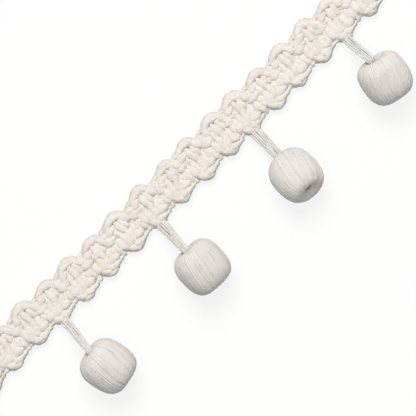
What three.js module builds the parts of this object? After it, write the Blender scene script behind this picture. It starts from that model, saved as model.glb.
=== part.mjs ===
// Beaded fringe trim: a crocheted cord heading with scalloped edges, lying flat, and round beads
// wound in cotton thread that hang on short thread stems from every fourth scallop.
//
// Units are millimetres. The origin is the middle of the heading's flat back. +X runs along the
// heading, +Y across it, away from the beads, and +Z up from the surface that the trim lies on.

import * as THREE from "three";

// ---- driving dimensions -----------------------------------------------------------------------

const SCALLOP_PITCH = 9.525; // tip to tip along the heading, 3/8 inch
const SCALLOPS_EACH_SIDE = 9; // scallops to either side of the middle one
const HEADING_LENGTH = (2 * SCALLOPS_EACH_SIDE + 1) * SCALLOP_PITCH;
const END_ROUND = 1.6; // how far from an end the heading starts to round off
const END_INSET = 1.1; // how much each edge draws in at the very end

const BACK_INSET = 0.55; // the flat back stops this far inside the outline
const RIM_HEIGHT = 0.95; // the outline's height above the surface: mid height of the edge cords
const GROUND_HEIGHT = 2.0; // height of the cloth in the gaps between strands
const ROLL_WIDTH = 1.1; // the face rolls down to the rim over this width
const COLUMNS_PER_SCALLOP = 12;
const ROWS = 12;
const ROW_CROWDING = 0.35; // 0 spaces the rows evenly, 1 crowds them most towards the edges

const SEAT_GAP = 0.3; // clearance between a stem and what it is sewn to

// One scallop's edges, in millimetres along from the scallop's lower tip and across from the
// heading's centre line. The upper arc starts and ends in a valley, and so does the lower one.
const UPPER_EDGE = [
  { along: -4.7, across: 5.15 },
  { along: -3.1, across: 5.85 },
  { along: -1.2, across: 6.7 },
  { along: 0.8, across: 7.15 },
  { along: 2.6, across: 6.85 },
  { along: 4.0, across: 6.05 },
];
const LOWER_EDGE = [
  { along: -3.5, across: -4.95 },
  { along: -2.2, across: -6.0 },
  { along: -0.9, across: -6.9 },
  { along: 0.2, across: -7.05 },
  { along: 2.2, across: -6.3 },
  { along: 4.2, across: -5.5 },
];

// The main strands that stand up in every scallop: ridges from one point to another, with the
// ridge's half width and the height of its crest.
const STRANDS = [
  { name: "upper edge, left leaf", from: [-3.8, 5.1], to: [0.2, 6.0], half: 1.0, crest: 3.0 },
  { name: "upper edge, right leaf", from: [0.4, 6.2], to: [4.2, 5.2], half: 1.0, crest: 3.1 },
  { name: "upper post", from: [0.8, 4.0], to: [0.8, 0.9], half: 1.0, crest: 3.4 },
  { name: "upper slanting post", from: [2.4, 3.8], to: [3.1, 0.9], half: 0.65, crest: 3.0 },
  { name: "upper float, high", from: [-4.4, 2.8], to: [-0.8, 3.7], half: 0.8, crest: 3.0 },
  { name: "upper float, low", from: [-4.9, 1.8], to: [-1.5, 1.6], half: 0.75, crest: 3.0 },
  { name: "lower post, left", from: [-1.1, 0.2], to: [-1.1, -3.4], half: 0.85, crest: 3.4 },
  { name: "lower post, right", from: [1.2, 0.2], to: [1.1, -2.6], half: 0.9, crest: 3.4 },
  { name: "lower bulge", from: [-2.9, -0.4], to: [-2.4, -3.4], half: 0.85, crest: 3.0 },
  { name: "lower float, low", from: [2.3, -2.8], to: [4.4, -2.5], half: 0.9, crest: 2.9 },
  { name: "lower float, high", from: [4.1, -0.6], to: [5.8, -0.5], half: 0.75, crest: 2.9 },
  { name: "lower edge, left leaf", from: [-1.7, -4.3], to: [0.2, -5.8], half: 1.0, crest: 3.1 },
  { name: "lower edge, right leaf", from: [0.6, -4.7], to: [4.4, -4.6], half: 1.0, crest: 3.0 },
];

// How far each scallop strays from an even repeat: its lower tip along and across the heading,
// then its upper peak along and across.
const SCALLOPS = [
  { place: -9, tipAlong: -0.5, tipAcross: 0.0, peakAlong: -0.2, peakAcross: 0.0 },
  { place: -8, tipAlong: -0.8, tipAcross: 0.1, peakAlong: 0.2, peakAcross: 0.1 },
  { place: -7, tipAlong: -0.3, tipAcross: 0.3, peakAlong: 0.3, peakAcross: 0.3 },
  { place: -6, tipAlong: -1.0, tipAcross: 0.1, peakAlong: 0.1, peakAcross: -0.3 },
  { place: -5, tipAlong: -0.9, tipAcross: -0.2, peakAlong: -0.4, peakAcross: 0.0 },
  { place: -4, tipAlong: -0.7, tipAcross: -0.1, peakAlong: -0.8, peakAcross: -0.6 },
  { place: -3, tipAlong: -0.1, tipAcross: -0.2, peakAlong: -1.0, peakAcross: -0.3 },
  { place: -2, tipAlong: -0.1, tipAcross: 0.0, peakAlong: 0.0, peakAcross: 0.1 },
  { place: -1, tipAlong: 0.2, tipAcross: 0.2, peakAlong: 0.9, peakAcross: -0.2 },
  { place: 0, tipAlong: 0.2, tipAcross: -0.2, peakAlong: -0.1, peakAcross: 0.2 },
  { place: 1, tipAlong: 0.4, tipAcross: -0.1, peakAlong: 0.6, peakAcross: 0.1 },
  { place: 2, tipAlong: -0.4, tipAcross: -0.1, peakAlong: -0.2, peakAcross: 0.0 },
  { place: 3, tipAlong: 0.2, tipAcross: 0.0, peakAlong: -0.2, peakAcross: 0.0 },
  { place: 4, tipAlong: -0.4, tipAcross: 0.0, peakAlong: -0.3, peakAcross: 0.2 },
  { place: 5, tipAlong: -0.2, tipAcross: 0.2, peakAlong: 0.2, peakAcross: 0.4 },
  { place: 6, tipAlong: -1.1, tipAcross: 0.1, peakAlong: -0.5, peakAcross: 0.1 },
  { place: 7, tipAlong: -0.4, tipAcross: 0.2, peakAlong: -0.3, peakAcross: 0.2 },
  { place: 8, tipAlong: -0.3, tipAcross: 0.1, peakAlong: 0.2, peakAcross: 0.0 },
  { place: 9, tipAlong: 0.2, tipAcross: 0.0, peakAlong: -0.2, peakAcross: -0.1 },
];

// Each bead: its centre, its width and length, how far its far end turns towards +X in plan, how
// far its stem end lifts off the surface, and the stem's place along X and its width, first at the
// heading and then at the bead.
const BEADS = [
  { name: "1", x: -58.4, y: -23.9, width: 14.4, length: 15.4, turn: 12, lift: 9,
    stemX: -58.3, stemTop: 2.9, stemEndX: -59.0, stemEnd: 2.2 },
  { name: "2", x: -19.5, y: -22.9, width: 14.6, length: 15.3, turn: -2, lift: 7,
    stemX: -19.2, stemTop: 3.6, stemEndX: -19.5, stemEnd: 2.5 },
  { name: "3", x: 17.8, y: -23.2, width: 13.9, length: 15.4, turn: -3, lift: -28,
    stemX: 18.4, stemTop: 3.5, stemEndX: 18.3, stemEnd: 2.9 },
  { name: "4", x: 55.3, y: -21.5, width: 14.4, length: 15.4, turn: -10, lift: 12,
    stemX: 55.7, stemTop: 2.9, stemEndX: 55.9, stemEnd: 2.8 },
];
const BEAD_SQUARENESS = 2.7; // 2 is a ball, higher is squarer in the shoulders
const BEAD_FLAT_DEPTH = 0.16; // how much the resting spot is pressed in
const DIMPLE_DEPTH = 2.2;
const DIMPLE_SPREAD = 2.4; // radius within which most of the dimple lies
const BEAD_RINGS = 12;
const BEAD_SIDES = 18;

const STEM_START_HEIGHT = 1.5; // the stem leaves the heading's edge at this height
const STEM_START_RISE = 0.35; // how steeply it leaves, as rise over run
const STEM_THICKNESS = 0.62; // a stem's thickness as a share of its width
const STEM_SEAT = 0.7; // how far inside the bead's end the stem's end lies, in the dimple
const STEM_STEPS = 7;
const STEM_SIDES = 10;

// ---- finishes ---------------------------------------------------------------------------------

const cordFinish = new THREE.MeshStandardMaterial({ color: "#e8e0d5", roughness: 0.9, metalness: 0 });
const threadFinish = new THREE.MeshStandardMaterial({ color: "#dcd8d1", roughness: 0.7, metalness: 0 });
const windingFinish = new THREE.MeshStandardMaterial({ color: "#e6e1da", roughness: 0.75, metalness: 0 });

// ---- meshes from rings of points --------------------------------------------------------------

// A closed solid through rings of equal count. The first and last rings are closed by a point.
function solidFromRings(rings, firstPoint, lastPoint) {
  const count = rings[0].length;
  const points = [firstPoint, ...rings.flat(), lastPoint];
  const faces = [];
  const at = (ring, side) => 1 + ring * count + (side % count);
  for (let side = 0; side < count; side += 1) {
    faces.push(0, at(0, side + 1), at(0, side));
    for (let ring = 0; ring + 1 < rings.length; ring += 1) {
      faces.push(at(ring, side), at(ring, side + 1), at(ring + 1, side + 1));
      faces.push(at(ring, side), at(ring + 1, side + 1), at(ring + 1, side));
    }
    faces.push(points.length - 1, at(rings.length - 1, side), at(rings.length - 1, side + 1));
  }
  return geometryFrom(points, faces);
}

function geometryFrom(points, faces) {
  const geometry = new THREE.BufferGeometry();
  const numbers = points.flatMap((point) => point.toArray());
  geometry.setAttribute("position", new THREE.Float32BufferAttribute(numbers, 3));
  geometry.setIndex(faces);
  return geometry;
}

// ---- the heading ------------------------------------------------------------------------------

// One edge of the whole heading: a scallop's points repeated and strayed by the scallop's row.
function edgePoints(profile, strayAlong, strayAcross) {
  return SCALLOPS.flatMap((scallop) =>
    profile.map((point) => ({
      x: scallop.place * SCALLOP_PITCH + point.along + scallop[strayAlong],
      y: point.across + scallop[strayAcross],
    })),
  );
}

const upperEdge = edgePoints(UPPER_EDGE, "peakAlong", "peakAcross");
const lowerEdge = edgePoints(LOWER_EDGE, "tipAlong", "tipAcross");

// Where an edge lies at x, on a smooth curve through its points.
function edgeAt(edge, x) {
  let next = edge.findIndex((point) => point.x > x);
  if (next < 0) next = edge.length;
  const p = (offset) => edge[THREE.MathUtils.clamp(next + offset, 0, edge.length - 1)];
  const [before, start, end, after] = [p(-2), p(-1), p(0), p(1)];
  if (start.x === end.x) return start.y;
  const span = end.x - start.x;
  const t = THREE.MathUtils.clamp((x - start.x) / span, 0, 1);
  const startSlope = before.x === start.x ? 0 : ((end.y - before.y) / (end.x - before.x)) * span;
  const endSlope = after.x === end.x ? 0 : ((after.y - start.y) / (after.x - start.x)) * span;
  return (
    start.y * (1 + 2 * t) * (1 - t) ** 2 +
    startSlope * t * (1 - t) ** 2 +
    end.y * t * t * (3 - 2 * t) +
    endSlope * t * t * (t - 1)
  );
}

// How far the edges draw in near an end of the heading, as on a quarter of an ellipse.
function endDraw(x) {
  const past = (Math.abs(x) - (HEADING_LENGTH / 2 - END_ROUND)) / END_ROUND;
  return past <= 0 ? 0 : END_INSET * (1 - Math.sqrt(Math.max(0, 1 - past * past)));
}

// Height of a ridge over a place: a round crest on the strand that fades out beside it.
function ridgeHeight(strand, along, across) {
  const [fromX, fromY] = strand.from;
  const [toX, toY] = strand.to;
  const [dx, dy] = [toX - fromX, toY - fromY];
  const share = ((along - fromX) * dx + (across - fromY) * dy) / (dx * dx + dy * dy);
  const t = THREE.MathUtils.clamp(share, 0, 1);
  const distance = Math.hypot(along - fromX - t * dx, across - fromY - t * dy);
  return (strand.crest - GROUND_HEIGHT) * Math.exp(-((distance / strand.half) ** 2));
}

// Height of the heading's face over a place: the highest of the ridges near it.
function faceHeight(x, y) {
  let height = 0;
  for (const scallop of SCALLOPS) {
    const middle = scallop.place * SCALLOP_PITCH;
    if (Math.abs(x - middle) > 2 * SCALLOP_PITCH) continue;
    for (const strand of STRANDS) {
      const upper = strand.from[1] + strand.to[1] > 0;
      const along = x - middle - (upper ? scallop.peakAlong : scallop.tipAlong);
      const across = y - (upper ? scallop.peakAcross : scallop.tipAcross);
      height = Math.max(height, ridgeHeight(strand, along, across));
    }
  }
  return GROUND_HEIGHT + height;
}

function makeHeading() {
  const columns = (2 * SCALLOPS_EACH_SIDE + 1) * COLUMNS_PER_SCALLOP;
  const points = [];
  // Each column holds the face's points from the lower edge to the upper one, then the two
  // points where the flat back starts and stops.
  const perColumn = ROWS + 3;
  for (let column = 0; column <= columns; column += 1) {
    const x = (column / columns - 0.5) * HEADING_LENGTH;
    const low = edgeAt(lowerEdge, x) + endDraw(x);
    const high = edgeAt(upperEdge, x) - endDraw(x);
    for (let row = 0; row <= ROWS; row += 1) {
      const even = row / ROWS;
      const crowded = 0.5 - 0.5 * Math.cos(Math.PI * even);
      const y = THREE.MathUtils.lerp(low, high, THREE.MathUtils.lerp(even, crowded, ROW_CROWDING));
      const toRim = Math.min(y - low, high - y, HEADING_LENGTH / 2 - Math.abs(x));
      const roll = Math.sqrt(Math.min(1, toRim / ROLL_WIDTH));
      points.push(new THREE.Vector3(x, y, THREE.MathUtils.lerp(RIM_HEIGHT, faceHeight(x, y), roll)));
    }
    const backEnd = HEADING_LENGTH / 2 - BACK_INSET;
    const backX = THREE.MathUtils.clamp(x, -backEnd, backEnd);
    points.push(new THREE.Vector3(backX, high - BACK_INSET, 0));
    points.push(new THREE.Vector3(backX, low + BACK_INSET, 0));
  }
  const faces = [];
  for (let column = 0; column < columns; column += 1) {
    for (let side = 0; side < perColumn; side += 1) {
      const here = column * perColumn + side;
      const beside = column * perColumn + ((side + 1) % perColumn);
      faces.push(here, here + perColumn, beside + perColumn, here, beside + perColumn, beside);
    }
  }
  // The two ends are closed by fans from the first face point.
  const last = columns * perColumn;
  for (let side = 1; side + 1 < perColumn; side += 1) {
    faces.push(0, side, side + 1);
    faces.push(last, last + side + 1, last + side);
  }
  return geometryFrom(points, faces);
}

// ---- beads and stems --------------------------------------------------------------------------

// A bead's own direction from its centre to its stem end.
function stemDirection(bead) {
  const turn = THREE.MathUtils.degToRad(bead.turn);
  const lift = THREE.MathUtils.degToRad(bead.lift);
  const level = Math.cos(lift);
  return new THREE.Vector3(-Math.sin(turn) * level, Math.cos(turn) * level, Math.sin(lift));
}

// The bead's profile from one dimple's floor to the other, as radius and height on its axis.
function beadProfile(bead) {
  const profile = [];
  for (let ring = 1; ring < BEAD_RINGS; ring += 1) {
    const angle = (Math.PI * ring) / BEAD_RINGS - Math.PI / 2;
    const squared = (value) => Math.sign(value) * Math.abs(value) ** (2 / BEAD_SQUARENESS);
    const radius = (bead.width / 2) * squared(Math.cos(angle));
    const height = (bead.length / 2) * squared(Math.sin(angle));
    profile.push({ radius, height: height - Math.sign(height) * dimpleDepth(radius) });
  }
  return profile;
}

function dimpleDepth(radius) {
  return DIMPLE_DEPTH * Math.exp(-((radius / DIMPLE_SPREAD) ** 2));
}

// The centre's height is how far the bead reaches below it as it lies, less the pressed-in spot.
function beadCentre(bead) {
  const lift = THREE.MathUtils.degToRad(Math.abs(bead.lift));
  const reach = beadProfile(bead).map(
    ({ radius, height }) => radius * Math.cos(lift) + height * Math.sin(lift),
  );
  return new THREE.Vector3(bead.x, bead.y, Math.max(...reach) - BEAD_FLAT_DEPTH);
}

function makeBead(bead) {
  const axis = stemDirection(bead);
  const side = new THREE.Vector3(0, 0, 1).cross(axis).normalize();
  const up = axis.clone().cross(side);
  const centre = beadCentre(bead);
  const place = (radius, angle, height) => {
    const point = centre.clone().addScaledVector(axis, height);
    point.addScaledVector(side, radius * Math.sin(angle)).addScaledVector(up, -radius * Math.cos(angle));
    point.z = Math.max(point.z, 0);
    return point;
  };
  const rings = beadProfile(bead).map(({ radius, height }) =>
    Array.from({ length: BEAD_SIDES }, (_, k) => place(radius, (2 * Math.PI * k) / BEAD_SIDES, height)),
  );
  const floor = bead.length / 2 - DIMPLE_DEPTH;
  return solidFromRings(rings, place(0, 0, -floor), place(0, 0, floor));
}

// The stem rises from the heading's edge and bends over into the bead's dimple.
function stemCurve(bead) {
  const startY = edgeAt(lowerEdge, bead.stemX) - SEAT_GAP;
  const start = new THREE.Vector3(bead.stemX, startY, STEM_START_HEIGHT);
  const axis = stemDirection(bead);
  const end = beadCentre(bead).addScaledVector(axis, bead.length / 2 - STEM_SEAT);
  end.setX(bead.stemEndX);
  const reach = start.distanceTo(end) / 3;
  const straight = start.clone().sub(end).normalize();
  const leave = start.clone().add(new THREE.Vector3(0, -reach, STEM_START_RISE * reach));
  const arrive = end.clone().add(axis.setX(0).add(straight).setLength(reach));
  return new THREE.CubicBezierCurve3(start, leave, arrive, end);
}

function makeStem(bead) {
  const curve = stemCurve(bead);
  const rings = [];
  for (let step = 0; step <= STEM_STEPS; step += 1) {
    const t = step / STEM_STEPS;
    const centre = curve.getPoint(t);
    const tangent = curve.getTangent(t);
    const across = new THREE.Vector3(0, 0, 1).cross(tangent).normalize();
    const up = tangent.clone().cross(across);
    const taper = THREE.MathUtils.smoothstep(t, 0, 1);
    const half = THREE.MathUtils.lerp(bead.stemTop, bead.stemEnd, taper) / 2;
    rings.push(
      Array.from({ length: STEM_SIDES }, (_, k) => {
        const angle = (2 * Math.PI * k) / STEM_SIDES;
        return centre
          .clone()
          .addScaledVector(across, half * Math.cos(angle))
          .addScaledVector(up, half * STEM_THICKNESS * Math.sin(angle));
      }),
    );
  }
  return solidFromRings(rings, curve.getPoint(0), curve.getPoint(1));
}

// ---- the object -------------------------------------------------------------------------------

function named(name, geometry, finish) {
  const mesh = new THREE.Mesh(geometry, finish.clone());
  mesh.name = name;
  return mesh;
}

const trim = new THREE.Group();
trim.add(named("heading", makeHeading(), cordFinish));
for (const bead of BEADS) {
  trim.add(named(`stem_${bead.name}`, makeStem(bead), threadFinish));
  trim.add(named(`bead_${bead.name}`, makeBead(bead), windingFinish));
}

export default trim;
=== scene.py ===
# %% [markdown]
# # Beaded fringe trim
# A cut length of furnishing trim: a heading crocheted from soft cream cotton cord, with scalloped
# edges, and barrel beads wound in cotton thread that hang on short thread stems. The solids of the
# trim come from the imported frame, and this lesson dresses them: real plied cords in place of the
# heading's solid, real windings in place of the beads', and bundles of thread in place of the stems'.
# Everything is in metres, with +X along the heading, -Y towards the beads and +Z up.

# %% Load the frame
import math
import random

import bpy
import numpy as np
from mathutils import Matrix, Vector


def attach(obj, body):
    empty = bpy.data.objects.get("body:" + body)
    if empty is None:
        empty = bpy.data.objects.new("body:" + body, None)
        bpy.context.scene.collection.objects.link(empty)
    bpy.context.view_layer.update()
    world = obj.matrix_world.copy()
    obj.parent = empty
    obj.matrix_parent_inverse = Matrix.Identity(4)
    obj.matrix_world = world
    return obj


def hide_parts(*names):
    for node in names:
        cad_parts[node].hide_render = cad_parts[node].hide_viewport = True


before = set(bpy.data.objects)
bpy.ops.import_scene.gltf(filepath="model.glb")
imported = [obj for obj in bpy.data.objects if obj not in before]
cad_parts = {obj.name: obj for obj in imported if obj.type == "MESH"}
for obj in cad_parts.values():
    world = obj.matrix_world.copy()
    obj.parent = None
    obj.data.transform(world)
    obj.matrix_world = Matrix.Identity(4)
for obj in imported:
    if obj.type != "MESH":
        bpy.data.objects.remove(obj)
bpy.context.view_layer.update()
MM = 0.001
print("solids:", sorted(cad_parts))

# %% [markdown]
# ## Small tools
# A few helpers serve the whole lesson. `linear` turns a written colour into the light values that a
# shader wants, because Blender mixes light and not screen colours. `add` puts one node in a tree, so
# that a tree reads as a list of its nodes. `plain` takes what Geometry Nodes modifiers make and keeps
# it as an ordinary mesh, because the finished pieces must carry no modifiers and no instances.

# %% Colours, nodes and plain meshes
def linear(written):
    """A written sRGB colour such as "#f4ecdf" as linear red, green, blue and alpha."""
    channels = [int(written[i:i + 2], 16) / 255 for i in (1, 3, 5)]
    return [c / 12.92 if c <= 0.04045 else ((c + 0.055) / 1.055) ** 2.4 for c in channels] + [1]


def add(tree, kind, inputs=None, **settings):
    """Adds a node with its settings. An input gets a node's first output, a socket or a value."""
    node = tree.nodes.new(kind)
    for name, value in settings.items():
        setattr(node, name, value)
    for name, value in (inputs or {}).items():
        if isinstance(value, bpy.types.Node):
            value = value.outputs[0]
        if isinstance(value, bpy.types.NodeSocket):
            tree.links.new(value, node.inputs[name])
        else:
            node.inputs[name].default_value = value
    return node


def placed(name, data):
    """A new object in the scene that holds this data."""
    thing = bpy.data.objects.new(name, data)
    bpy.context.collection.objects.link(thing)
    return thing


def plain(maker, name):
    """Keeps what the maker object's modifiers produce as a plain mesh object, and removes the maker."""
    graph = bpy.context.evaluated_depsgraph_get()
    mesh = bpy.data.meshes.new_from_object(maker.evaluated_get(graph), depsgraph=graph)
    mesh.name = name
    bpy.data.objects.remove(maker)
    print(f"{name}: {sum(len(p.vertices) - 2 for p in mesh.polygons)} triangles")
    return placed(name, mesh)


def lay_down(mesh):
    """Presses flat on the table whatever would reach through it."""
    places = np.empty(3 * len(mesh.vertices))
    mesh.vertices.foreach_get("co", places)
    places[2::3] = np.maximum(places[2::3], 0.02 * MM)
    mesh.vertices.foreach_set("co", places)
    mesh.update()

# %% [markdown]
# ## The path of a cord
# Every strand of this trim starts as a path, a row of points. A bevelled curve would do for a plain
# cord, but not for its plies. So paths are stored as a curve object whose point radius is the
# strand's radius, and one Geometry Nodes tree turns any number of them into plied cord.

# %% Paths as curve objects
def paths_object(name, strands):
    """A curve object with one open path for each strand, a list of (x, y, z, radius) in mm."""
    curve = bpy.data.curves.new(name, "CURVE")
    curve.dimensions = "3D"
    for strand in strands:
        spline = curve.splines.new("POLY")
        spline.points.add(len(strand) - 1)
        for point, (x, y, z, radius) in zip(spline.points, strand):
            point.co = (x * MM, y * MM, z * MM, 1)
            point.radius = radius * MM
    return placed(name, curve)


def round_section(name, corners):
    """The closed round section of a cord of radius 1 m."""
    angles = [2 * math.pi * k / corners for k in range(corners)]
    section = paths_object(name, [[(math.cos(a) / MM, math.sin(a) / MM, 0, 1 / MM) for a in angles]])
    section.data.splines[0].use_cyclic_u = True
    return section


CORD_YARNS = 10  # yarns seen round a cord
cord_section = round_section("cord_section", corners=2 * CORD_YARNS)
chain_section = round_section("chain_section", corners=10)
thread_section = round_section("thread_section", corners=6)
print("sections:", cord_section.name, chain_section.name, thread_section.name)

# %% [markdown]
# ## What the trees share
# Three Geometry Nodes trees follow: for plied cord, for the repeat of the stitch and for winding a
# bead. The script could work out every point by itself, but a tree is quicker, and its named inputs
# can be tried out one by one.

# %% Trees and their inputs
MATH, VECTOR_MATH = "ShaderNodeMath", "ShaderNodeVectorMath"  # the two kinds that come most often


def group_tree(name, inputs, output):
    """A new Geometry Nodes tree with inputs of each kind and one output, and its input sockets."""
    tree = bpy.data.node_groups.new(name, "GeometryNodeTree")
    for kind, titles in inputs.items():
        for title in titles:
            tree.interface.new_socket(title, in_out="INPUT", socket_type="NodeSocket" + kind)
    tree.interface.new_socket(output, in_out="OUTPUT", socket_type="NodeSocketGeometry")
    return tree, tree.nodes.new("NodeGroupInput").outputs


def use_tree(thing, tree, **values):
    """Puts a tree on an object as a modifier and sets its inputs, each by its socket's identifier."""
    modifier = thing.modifiers.new(tree.name, "NODES")
    modifier.node_group = tree
    wanted = {key.replace("_", " ").lower(): value for key, value in values.items()}
    for socket in tree.interface.items_tree:
        if socket.in_out == "INPUT" and socket.name.lower() in wanted:
            modifier[socket.identifier] = wanted.pop(socket.name.lower())
    assert not wanted, f"{tree.name} has no input {list(wanted)}"

# %% [markdown]
# ## Plied cord
# A soft cord is a bundle of yarns that turn slowly round each other. Its plies could be drawn by a
# bump map alone, but then its outline and its crossings would be smooth, so they are shaped. The
# tree smooths each path, gives it a tilt that grows with its length, and sweeps a round section
# along it. It presses the cord flat where the work was pressed, and then raises a ridge for each
# yarn and the slow lumps of soft spinning. Three attributes are kept for the finish: `along`, the
# distance from the strand's start, `around`, the place on the section, and `own`, a number of the
# strand's own. The section turns with the tilt, so what is drawn from these follows the yarns.

# %% Cord tree
def plied_cord_tree():
    tree, given = group_tree("plied cord", {
        "Geometry": ["Paths"], "Object": ["Section"], "Int": ["Seed"], "Material": ["Finish"],
        "Float": ["Step", "Turns per Metre", "Fullness", "Middle", "Half Thickness", "Softness",
                  "Yarns", "Groove", "Lumps"]}, "Cord")
    smooth = add(tree, "GeometryNodeCurveSplineType", {"Curve": given["Paths"]},
                 spline_type="CATMULL_ROM")
    fine = add(tree, "GeometryNodeResampleCurve", {"Curve": smooth, "Length": given["Step"]},
               mode="LENGTH")
    length = add(tree, "GeometryNodeSplineParameter").outputs["Length"]
    # A random number for each strand, the same all along it.
    index = add(tree, "GeometryNodeInputIndex")
    which = add(tree, "GeometryNodeFieldOnDomain", {0: index}, domain="CURVE", data_type="INT")
    own = add(tree, "FunctionNodeRandomValue",
              {"ID": which, "Seed": given["Seed"], 2: 0.0, 3: 2 * math.pi}).outputs[1]
    turns = add(tree, MATH, {0: length, 1: given["Turns per Metre"]}, operation="MULTIPLY")
    tilt = add(tree, MATH, {0: turns, 1: 2 * math.pi, 2: own}, operation="MULTIPLY_ADD")
    paths = add(tree, "GeometryNodeSetCurveTilt", {"Curve": fine, "Tilt": tilt})
    for name, value in (("along", length), ("own", own)):
        paths = add(tree, "GeometryNodeStoreNamedAttribute",
                    {"Geometry": paths, "Value": value, "Name": name},
                    data_type="FLOAT", domain="POINT")
    section = add(tree, "GeometryNodeObjectInfo", {"Object": given["Section"]})
    place = add(tree, "GeometryNodeInputPosition")
    outline = add(tree, "GeometryNodeStoreNamedAttribute",
                  {"Geometry": section.outputs["Geometry"], "Value": place, "Name": "around"},
                  data_type="FLOAT_VECTOR", domain="POINT")
    full = add(tree, MATH,
               {0: add(tree, "GeometryNodeInputRadius"), 1: given["Fullness"]}, operation="MULTIPLY")
    swept = add(tree, "GeometryNodeCurveToMesh",
                {"Curve": paths, "Profile Curve": outline, "Scale": full, "Fill Caps": True})
    # Pressing: whatever stands further than the half thickness from the middle is flattened softly.
    half, middle, softness = given["Half Thickness"], given["Middle"], given["Softness"]
    split = add(tree, "ShaderNodeSeparateXYZ", {0: place}).outputs
    height = add(tree, MATH, {0: split[2], 1: middle}, operation="SUBTRACT")
    under = add(tree, MATH, {0: height, 1: half, 2: softness}, operation="SMOOTH_MIN")
    down = add(tree, MATH, {0: half, 1: -1.0}, operation="MULTIPLY")
    both = add(tree, MATH, {0: under, 1: down, 2: softness}, operation="SMOOTH_MAX")
    level = add(tree, MATH, {0: both, 1: middle}, operation="ADD")
    pressed_at = add(tree, "ShaderNodeCombineXYZ", {0: split[0], 1: split[1], 2: level})
    pressed = add(tree, "GeometryNodeSetPosition", {"Geometry": swept, "Position": pressed_at})
    # Yarns: the surface rises over each one and sinks between two of them.
    around = add(tree, "GeometryNodeInputNamedAttribute", {"Name": "around"}, data_type="FLOAT_VECTOR")
    sides = add(tree, "ShaderNodeSeparateXYZ", {0: around}).outputs
    angle = add(tree, MATH, {0: sides[1], 1: sides[0]}, operation="ARCTAN2")
    count = add(tree, MATH, {0: angle, 1: given["Yarns"]}, operation="MULTIPLY")
    wave = add(tree, MATH, {0: count}, operation="COSINE")
    ridge = add(tree, MATH, {0: wave, 1: given["Groove"]}, operation="MULTIPLY")
    # Lumps, about a millimetre apart: soft spun cord is thick and thin, each in its own places.
    strand = add(tree, "GeometryNodeInputNamedAttribute", {"Name": "own"}, data_type="FLOAT")
    lumpy = add(tree, "ShaderNodeTexNoise",
                {"Vector": place, "W": strand, "Scale": 900.0, "Detail": 1.0},
                noise_dimensions="4D")
    swing = add(tree, "ShaderNodeMapRange", {"Value": lumpy, "From Min": 0.3, "From Max": 0.7,
                                             "To Min": -1.0, "To Max": 1.0})
    rise = add(tree, MATH, {0: swing, 1: given["Lumps"], 2: ridge}, operation="MULTIPLY_ADD")
    lift = add(tree, VECTOR_MATH,
               {0: add(tree, "GeometryNodeInputNormal"), "Scale": rise}, operation="SCALE")
    ridged = add(tree, "GeometryNodeSetPosition", {"Geometry": pressed, "Offset": lift})
    soft = add(tree, "GeometryNodeSetShadeSmooth", {"Geometry": ridged})
    real = add(tree, "GeometryNodeRealizeInstances", {"Geometry": soft})
    done = add(tree, "GeometryNodeSetMaterial", {"Geometry": real, "Material": given["Finish"]})
    add(tree, "NodeGroupOutput", {"Cord": done})
    return tree


plied_cord = plied_cord_tree()
print("plied cord tree:", len(plied_cord.nodes), "nodes")

# %% [markdown]
# ## A piece from paths
# Every cord and thread of the trim goes through the same tree, so one function runs it on a maker
# object that holds the paths. What isn't given stays plain: unpressed and without ridges.

# %% Making a piece from paths
def make_cord(maker, name, section, step, turns_per_metre, seed, finish, **more):
    """The piece of plied cord that follows a maker object's paths. The step is in mm."""
    values = {"fullness": 1.0, "middle": 0.0, "half_thickness": 1.0, "softness": 0.0,
              "yarns": 1.0, "groove": 0.0, "lumps": 0.0} | more
    use_tree(maker, plied_cord, section=section, step=step * MM, seed=seed, finish=finish,
             turns_per_metre=turns_per_metre, **values)
    return plain(maker, name)


# %% [markdown]
# ## Cotton
# The heading is unbleached cotton cord: many soft spun yarns, matt, with a slight bloom of fibres.
# Cotton has no metal and little gloss, so the shader is rough, with sheen for the fibres that stand
# off the surface. Loose hairs could be grown as curves, but at this size they only blur the cord,
# so fibres are drawn along the plies from the `around` and `along` attributes. Real cotton fibres
# are about 0.02 mm thick, too fine to show, so bundles of about 0.12 mm are drawn. The beads' and
# stems' thread is the same cotton, spun finer and smoother, so it is a little cooler and glossier.

# %% Cotton finishes
def finish_start(name, roughness, specular):
    """A new material, its tree and its surface shader, with the gloss of the real stuff."""
    material = bpy.data.materials.new(name)
    material.use_nodes = True
    surface = material.node_tree.nodes["Principled BSDF"]
    surface.inputs["Roughness"].default_value = roughness
    surface.inputs["Specular IOR Level"].default_value = specular
    return material, material.node_tree, surface


def yarn_rounds(tree, around, along, yarns):
    """1 on the crest of each yarn round the cord and 0 in its grooves, with a slow wander. It shapes the
    bump, and in the colour it paints shade into the grooves.
    """
    sides = add(tree, "ShaderNodeSeparateXYZ", {0: around}).outputs
    angle = add(tree, MATH, {0: sides[1], 1: sides[0]}, operation="ARCTAN2")
    slow = add(tree, MATH, {0: along, 1: 1 / (2 * MM)}, operation="MULTIPLY")
    wander = add(tree, "ShaderNodeTexNoise", {"W": slow, "Scale": 1.0}, noise_dimensions="1D")
    count = add(tree, MATH, {0: angle, 1: yarns / (2 * math.pi), 2: wander}, operation="MULTIPLY_ADD")
    wave = add(tree, MATH, {0: count, 1: 0.5}, operation="PINGPONG")
    return add(tree, "ShaderNodeMapRange", {"Value": wave, "From Min": 0.0, "From Max": 0.30},
               interpolation_type="SMOOTHERSTEP")


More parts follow.
